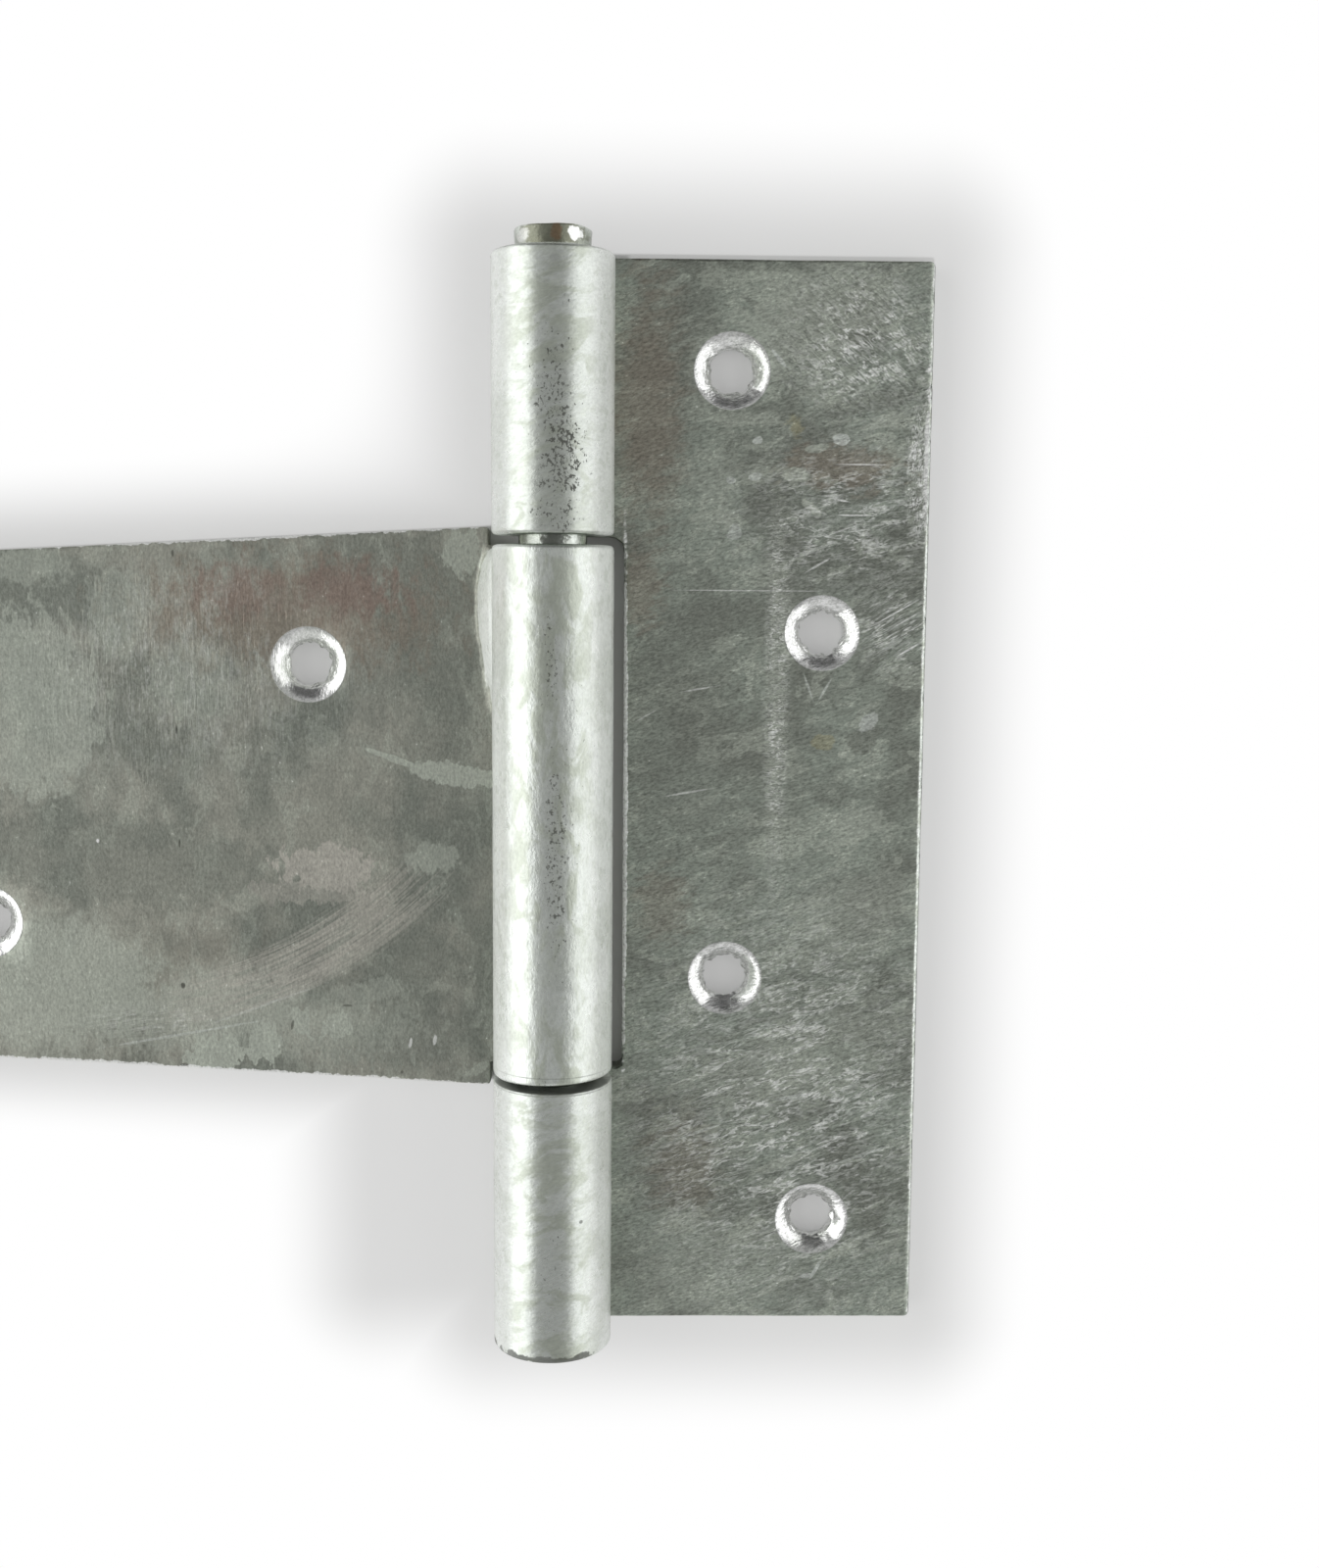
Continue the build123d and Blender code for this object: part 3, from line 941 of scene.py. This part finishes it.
    # Relief in millimetres
    relief = times_plus(fine, 0.03, relief)
    relief = times_plus(blotch, grit_depth, relief)
    relief = times_plus(mottle, 0.05, relief)
    bump = put(tree, "ShaderNodeBump")
    bump.inputs["Distance"].default_value = MM
    bump.inputs["Strength"].default_value = 1.0
    feed(bump.inputs["Height"], relief)
    feed(shader.inputs["Normal"], bump.outputs[0])
    return material


# Operators


def give(piece, material, body, node):
    """Dresses a finished piece and tells the frame what it is."""
    piece.data.materials.clear()
    piece.data.materials.append(material)
    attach(piece, body)
    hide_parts(node)


class HINGE_OT_flap_sheet(Operator):
    """Cut the back flap from one sheet and roll its two knuckles."""

    bl_idname = "hinge.flap_sheet"
    bl_label = "Back flap"
    bl_options = {"REGISTER", "UNDO"}

    def execute(self, context):
        sizes, finish = context.scene.hinge_sizes, context.scene.hinge_finish
        holes = (
            (sizes.near_hole, sizes.end_hole),
            (sizes.far_hole, sizes.inner_hole),
            (sizes.near_hole, -sizes.inner_hole),
            (sizes.far_hole, -sizes.end_hole),
        )
        step, margin, reach = 0.8 * MM, 1.1 * MM, 7.4 * MM
        edge, free = sizes.notch_edge, sizes.flap_reach
        top, bottom = sizes.flap_top, sizes.flap_bottom
        upper, lower = sizes.upper_start, sizes.lower_start
        stops = (bottom + margin, lower - margin, lower, upper, upper + margin, top - margin)
        bm = bmesh.new()
        columns = spaced(0.0, free, step, (edge, edge + margin, free - margin))
        ruled_sheet(bm, columns, spaced(bottom, top, step, stops))
        drop_faces(bm, lambda at: at.x < edge and lower < at.y < upper)
        for start, way, radius in (
            (upper, -1, sizes.notch_upper_radius),
            (lower, 1, sizes.notch_lower_radius),
        ):
            round_notch(bm, (edge, start), (edge - radius, start + way * radius))
        for place in holes:
            cell = hole_cell(bm, place, (reach, reach))
            open_screw_hole(bm, cell, place, sizes.countersink_radius)
        thicken(bm, sizes, holes)
        roll_knuckle(bm, sizes, upper, top, 1.0)
        roll_knuckle(bm, sizes, bottom, lower, 1.0)
        corners = ((free, top), (free, bottom))
        piece = round_edges(bm, "flap_sheet", sizes, corners)
        bore, axis_height = (sizes.barrel_radius - sizes.sheet) / MM, sizes.barrel_radius / MM
        over, under = (sizes.upper_end - top) / MM, (sizes.lower_end - bottom) / MM
        level = top / MM - 4

        def move(at, normal):
            shift = weathered(at, normal, bore, axis_height) + throat(at, holes, sizes.hole_radius)
            rolled = 1.0 if at.z > KNUCKLE_FROM else min(1.0, max(0.0, (9 - at.x) / 6))
            if abs(at.y) > level:
                shift.y += (over if at.y > 0 else under) * rolled * (abs(at.y) - level) / 4
            return shift

        reshape(piece, move)
        pits = (
            (1.2, (2.0, 57, 19.5), (4.2, 10, 4), 0, 0.9, 1.2),
            (1.0, (0.5, 66, 19.6), (3.2, 12, 4), 0, 0.9, 1.2),
            (0.9, (1.5, 48, 19.5), (5.0, 4, 5), 0, 0.9, 1.2),
            (0.5, (0.5, 66, 19.6), (7, 24, 6), 0, 0.9, 0.9),
            (0.55, (0.5, -75, 19.6), (3.5, 16, 4), 0, 0.9, 0.9),
        )
        material = zinc(
            "galvanised_flap",
            finish,
            finish.dull,
            FLAP_MARKS,
            holes,
            FLAP_WRINKLES,
            flow=(17, 2.2, 0.4),
            pit_band=pits,
            freshness=0.93,
            grit=1.7,
        )
        give(piece, material, "flap", "flap")
        return {"FINISHED"}


def strap_half(sizes, x):
    """Half the strap's width at x, its rounded tip included."""
    root = (sizes.root_top - sizes.root_bottom) / 2
    tip = sizes.strap_tip_width / 2
    slope = (root - tip) / (sizes.strap_reach - sizes.shoulder_edge)
    taper = math.atan(slope)
    radius = tip * math.cos(taper) / (1 - math.sin(taper))
    centre = sizes.strap_reach - radius
    if -x > centre + radius * math.sin(taper):
        return math.sqrt(max(radius**2 - (-x - centre) ** 2, (2 * MM) ** 2))
    return root - max(0.0, -x - sizes.shoulder_edge) * slope


class HINGE_OT_strap_sheet(Operator):
    """Cut the long strap from one sheet and roll its middle knuckle."""

    bl_idname = "hinge.strap_sheet"
    bl_label = "Strap"
    bl_options = {"REGISTER", "UNDO"}

    def execute(self, context):
        sizes, finish = context.scene.hinge_sizes, context.scene.hinge_finish
        middle = (sizes.root_top + sizes.root_bottom) / 2
        root = (sizes.root_top - sizes.root_bottom) / 2
        row = sizes.strap_reach - sizes.strap_hole_last - sizes.strap_hole_first
        pitch = row / (sizes.strap_holes - 1)
        holes = []
        for i in range(sizes.strap_holes):
            x = -sizes.strap_hole_first - i * pitch
            half = strap_half(sizes, x)
            y = middle + half - sizes.upper_row if i % 2 == 0 else middle - half + sizes.lower_row
            holes.append((x, y))

        edge, margin, reach = sizes.shoulder_edge, MM, 7.6 * MM
        top, bottom = sizes.root_top, sizes.root_bottom
        upper, lower = sizes.middle_top, sizes.middle_bottom
        # Columns like an arc's over the tip, wide ones to the part in the photo, closer ones
        # there, and the closest under the bridge of zinc
        tip, wide, close, closest = 24 * MM, 2 * MM, 1.2 * MM, 0.35 * MM
        in_photo, bridge, past_bridge = -112 * MM, -14 * MM, -6 * MM
        arc = [1 - math.cos(math.radians(angle)) for angle in range(0, 90, 5)]
        columns = [-sizes.strap_reach + tip * share for share in arc]
        columns += spaced(tip - sizes.strap_reach, in_photo, wide)
        columns += spaced(in_photo, bridge, close)[1:]
        columns += spaced(bridge, -edge - margin, closest)[1:]
        columns += spaced(-edge, past_bridge, closest)
        columns += spaced(past_bridge, 0.0, close)[1:]
        stops = (bottom + margin, lower, lower + margin, upper - margin, upper, top - margin)
        bm = bmesh.new()
        ruled_sheet(bm, columns, spaced(bottom, top, close, stops))
        drop_faces(bm, lambda at: at.x > -edge and not lower < at.y < upper)
        cells = []
        for x, y in holes:
            widened = root / strap_half(sizes, x)
            place = (x, middle + (y - middle) * widened)
            cells.append(hole_cell(bm, place, (reach, reach * widened)))
        for vert in bm.verts:
            vert.co.y = middle + (vert.co.y - middle) * strap_half(sizes, vert.co.x) / root
        for cell, place in zip(cells, holes):
            open_screw_hole(bm, cell, place, sizes.countersink_radius)
        thicken(bm, sizes, holes)
        roll_knuckle(bm, sizes, lower, upper, -1.0)
        piece = round_edges(bm, "strap_sheet", sizes, ((-edge, top), (-edge, bottom)))
        bore, axis_height = (sizes.barrel_radius - sizes.sheet) / MM, sizes.barrel_radius / MM
        skew, skewed_below = sizes.middle_skew / MM, lower / MM + 8
        bridge_start, bridge_end = 16, 42.6

        def zinc_bridge(at):
            """The heavy lump of zinc between middle knuckle and strap: its rise in mm."""
            along = (at.y - bridge_start) / (bridge_end - bridge_start)
            if not 0 < along < 1 or not -14 < at.x < -9.2 or abs(at.z - SHEET_TOP) > 0.7:
                return 0.0
            swell = math.sin(math.pi * along**1.7) ** 0.55
            foot = 10.2 + 2.6 * swell + 0.25 * noise.noise(Vector((3, at.y / 2.3, 1)))
            across = (foot + at.x) / (foot - 9.3)
            if across <= 0:
                return 0.0
            return 4.6 * swell**0.4 * math.sin(min(across, 1.0) * math.pi / 2) ** 0.8

        def move(at, normal):
            shift = weathered(at, normal, bore, axis_height) + throat(at, holes, sizes.hole_radius)
            if normal.z > 0.2:
                shift.z += zinc_bridge(at)
            if at.z > 4.4 and at.y < skewed_below and abs(at.x) < axis_height:
                shift.y += skew * (0.5 + at.x / (2 * axis_height)) * (skewed_below - at.y) / 8
            return shift

        reshape(piece, move)
        pits = (
            (1.0, (1.0, -5, 19.6), (2.8, 27, 4), 0, 0.9, 0.7),
            (0.9, (0.0, 25, 19.6), (2.4, 16, 4), 0, 0.9, 0.7),
            (0.45, (4.0, 5, 19.0), (4, 40, 6), 0, 0.9, 0.7),
            (0.9, (-1.3, -42.8, 19.6), (1.0, 1.0, 4), 0, 0.6, 0.6),
        )
        material = zinc(
            "galvanised_strap",
            finish,
            finish.buff,
            STRAP_MARKS,
            holes,
            STRAP_WRINKLES,
            flow=(90, 1.8, 0.2),
            pit_band=pits,
            grit=1.1,
            brush=STRAP_BRUSH,
        )
        give(piece, material, "strap", "strap")
        return {"FINISHED"}


class HINGE_OT_pin_rod(Operator):
    """Turn the pin, with its head over the upper knuckle and its peened foot."""

    bl_idname = "hinge.pin_rod"
    bl_label = "Pin"
    bl_options = {"REGISTER", "UNDO"}

    def execute(self, context):
        sizes, finish = context.scene.hinge_sizes, context.scene.hinge_finish
        axis = sizes.barrel_radius
        head, foot = sizes.upper_end + sizes.head_height, sizes.lower_end - sizes.foot_height
        profile = [
            (0.0, head + sizes.head_dome),
            (sizes.head_end * 0.5, head + sizes.head_dome * 0.75),
            (sizes.head_end, head),
            (sizes.head_base, sizes.upper_end),
            (sizes.pin_radius, sizes.upper_end),
            (sizes.pin_radius, sizes.upper_end - MM),
            (sizes.pin_radius, sizes.lower_end + MM),
            (sizes.pin_radius, sizes.lower_end),
            (sizes.foot_radius, sizes.lower_end),
            (sizes.foot_radius, foot),
            (sizes.foot_radius * 0.5, foot - sizes.head_dome * 0.75),
            (0.0, foot - sizes.head_dome),
        ]
        bm = bmesh.new()
        points = [bm.verts.new((radius, y, axis)) for radius, y in profile]
        edges = [bm.edges.new(pair) for pair in zip(points, points[1:])]
        bmesh.ops.spin(
            bm,
            geom=points + edges,
            cent=(0.0, 0.0, axis),
            axis=(0.0, 1.0, 0.0),
            angle=math.tau,
            steps=72,
            use_merge=True,
            use_duplicate=False,
        )
        bmesh.ops.remove_doubles(bm, verts=bm.verts[:], dist=TINY)
        beyond = abs(sizes.upper_end) + TINY
        ends = [edge for edge in bm.edges if abs(edge.verts[0].co.y) > beyond]
        bmesh.ops.bevel(
            bm,
            geom=[edge for edge in ends if edge.calc_face_angle(0.0) > SHARP],
            offset=0.4 * MM,
            affect="EDGES",
            segments=4,
            profile=0.5,
            material=-1,
        )

        def on_head_side(edge):
            rise = abs(edge.verts[0].co.y - edge.verts[1].co.y)
            return rise > 3 * MM and edge.calc_length() < 5 * MM

        sides = [edge for edge in bm.edges if on_head_side(edge)]
        bmesh.ops.subdivide_edges(bm, edges=sides, cuts=5)
        bmesh.ops.recalc_face_normals(bm, faces=bm.faces[:])
        piece = finished(bm, "pin_rod")

        def hammered(at, normal):
            if abs(at.y) < sizes.upper_end / MM + 0.1:
                return Vector()
            return normal * (noise.noise(at / 2.4) * 0.14 - 0.05)

        reshape(piece, hammered)
        material = zinc("galvanised_pin", finish, finish.bright, PIN_MARKS)
        give(piece, material, "flap", "pin")
        return {"FINISHED"}


class HINGE_OT_studio(Operator):
    """Lay the white table, and set the light and the camera."""

    bl_idname = "hinge.studio"
    bl_label = "Table, light and camera"
    bl_options = {"REGISTER", "UNDO"}

    def execute(self, context):
        self.lay_table(context)
        self.set_light(context)
        self.set_camera(context)
        context.scene.view_settings.view_transform = "Standard"
        return {"FINISHED"}

    def lay_table(self, context):
        studio = context.scene.hinge_studio
        sizes = context.scene.hinge_sizes
        bm = bmesh.new()
        bmesh.ops.create_grid(bm, x_segments=4, y_segments=4, size=6.0)
        bmesh.ops.translate(bm, verts=bm.verts[:], vec=(0.0, 0.0, -0.05 * MM))
        table = finished(bm, "table")

        material = bpy.data.materials.new("white_table")
        material.use_nodes = True
        tree = material.node_tree
        tree.nodes.clear()
        x, y, _ = parts(place_on(tree))

        def beyond(value, middle, half):
            """How far a place lies outside a stretch along one axis."""
            return most(minus(unsigned(minus(value, middle)), half), 0.0)

        def away(across, along):
            return calc("SQRT", plus(calc("POWER", across, 2.0), calc("POWER", along, 2.0)))

        # How far the table's points lie from the flap, from the tapered strap, and from both
        reach, long = sizes.flap_reach / MM, sizes.strap_reach / MM
        from_flap = away(beyond(x, (reach - 10) / 2, (reach + 10) / 2), beyond(y, 0.0, 90))
        slope, root_half, below = 0.0554, 47.6, 0.85
        half = times_plus(x, slope, root_half)
        beside = most(minus(unsigned(plus(y, below)), half), 0.0)
        from_strap = times(away(beyond(x, -long / 2, long / 2), beside), 1.6)
        both = most(away(from_flap, from_strap), 0.01)
        nearest = calc("DIVIDE", times(from_flap, from_strap), both)
        low_left = away(beyond(x, -14, 17), beyond(y, -66, 18))
        clear = least(nearest, plus(low_left, 2.5))

        # Painted shade on the table: white away from the hinge, a greyer halo beside it and to its
        # lower left, grey under it, and lighter in the holes
        white = ease(clear, 2.5, 22, studio.table_glow, 1.0)
        through = ease(unsigned(x), 11.4, 12.4, 0.0, 0.45)
        white = times(white, most(ease(nearest, 0.0, 0.6), through))
        rays = put(tree, "ShaderNodeLightPath").outputs
        mirrored = most(rays["Is Glossy Ray"], rays["Is Transmission Ray"])
        seen = most(rays["Is Camera Ray"], mirrored)
        paper = put(tree, "ShaderNodeBsdfDiffuse")
        grey = studio.table_grey
        paper.inputs["Color"].default_value = (grey, grey, grey * 0.985, 1.0)
        glow = put(tree, "ShaderNodeEmission")
        mix = put(tree, "ShaderNodeMixShader")
        fed(mix, times(white, seen), paper.outputs[0], glow.outputs[0])
        fed(put(tree, "ShaderNodeOutputMaterial"), mix.outputs[0])
        table.data.materials.append(material)

    def set_light(self, context):
        """Two light sides, a darker ceiling, and white where the camera looks past the table."""
        studio = context.scene.hinge_studio
        world = bpy.data.worlds.new("soft_studio")
        world.use_nodes = True
        context.scene.world = world
        tree = world.node_tree
        background = tree.nodes["Background"]
        x, y, _ = parts(put(tree, "ShaderNodeTexCoord").outputs["Generated"])
        sides = times_plus(ease(x, 0.46, 0.74), studio.right_share, ease(x, -0.46, -0.74))
        level = times_plus(sides, studio.side_light, studio.fill_light)
        level = times_plus(ease(y, -0.5, -0.95), studio.near_light, level)
        level = times(level, ease(y, 0.5, 0.9, 1.0, 0.28))
        seen = put(tree, "ShaderNodeLightPath").outputs["Is Camera Ray"]
        feed(background.inputs["Strength"], mixed(seen, level, 1.0))
        background.inputs["Color"].default_value = (1.0, 1.0, 1.0, 1.0)

    def set_camera(self, context):
        data = bpy.data.cameras.new("camera")
        data.sensor_fit = "HORIZONTAL"
        data.sensor_width = 36
        data.lens = context.scene.hinge_studio.lens
        data.clip_start = 0.01
        camera = bpy.data.objects.new("camera", data)
        camera.location = CAMERA_PLACE
        camera.rotation_euler = [math.radians(angle) for angle in CAMERA_TURN]
        context.scene.collection.objects.link(camera)
        context.scene.camera = camera


class VIEW3D_PT_hinge(Panel):
    """Lists the hinge's steps, sizes and colours in the sidebar."""

    bl_label = "Tee hinge"
    bl_space_type = "VIEW_3D"
    bl_region_type = "UI"
    bl_category = "Hinge"

    def draw(self, context):
        layout = self.layout
        for step in STEPS:
            layout.operator(step.bl_idname)
        for name, kind in GROUPS.items():
            box = layout.box()
            for size in kind.__annotations__:
                box.prop(getattr(context.scene, name), size)


GROUPS = {"hinge_sizes": HingeSizes, "hinge_finish": HingeFinish, "hinge_studio": HingeStudio}
STEPS = (HINGE_OT_studio, HINGE_OT_flap_sheet, HINGE_OT_strap_sheet, HINGE_OT_pin_rod)
CLASSES = (*GROUPS.values(), *STEPS, VIEW3D_PT_hinge)


def register():
    for cls in CLASSES:
        bpy.utils.register_class(cls)
    for name, kind in GROUPS.items():
        setattr(bpy.types.Scene, name, PointerProperty(type=kind))


def unregister():
    for name in GROUPS:
        delattr(bpy.types.Scene, name)
    for cls in reversed(CLASSES):
        bpy.utils.unregister_class(cls)


def main():
    register()
    bpy.ops.hinge.studio()
    bpy.ops.hinge.flap_sheet()
    bpy.ops.hinge.strap_sheet()
    bpy.ops.hinge.pin_rod()


if __name__ == "__main__":
    main()
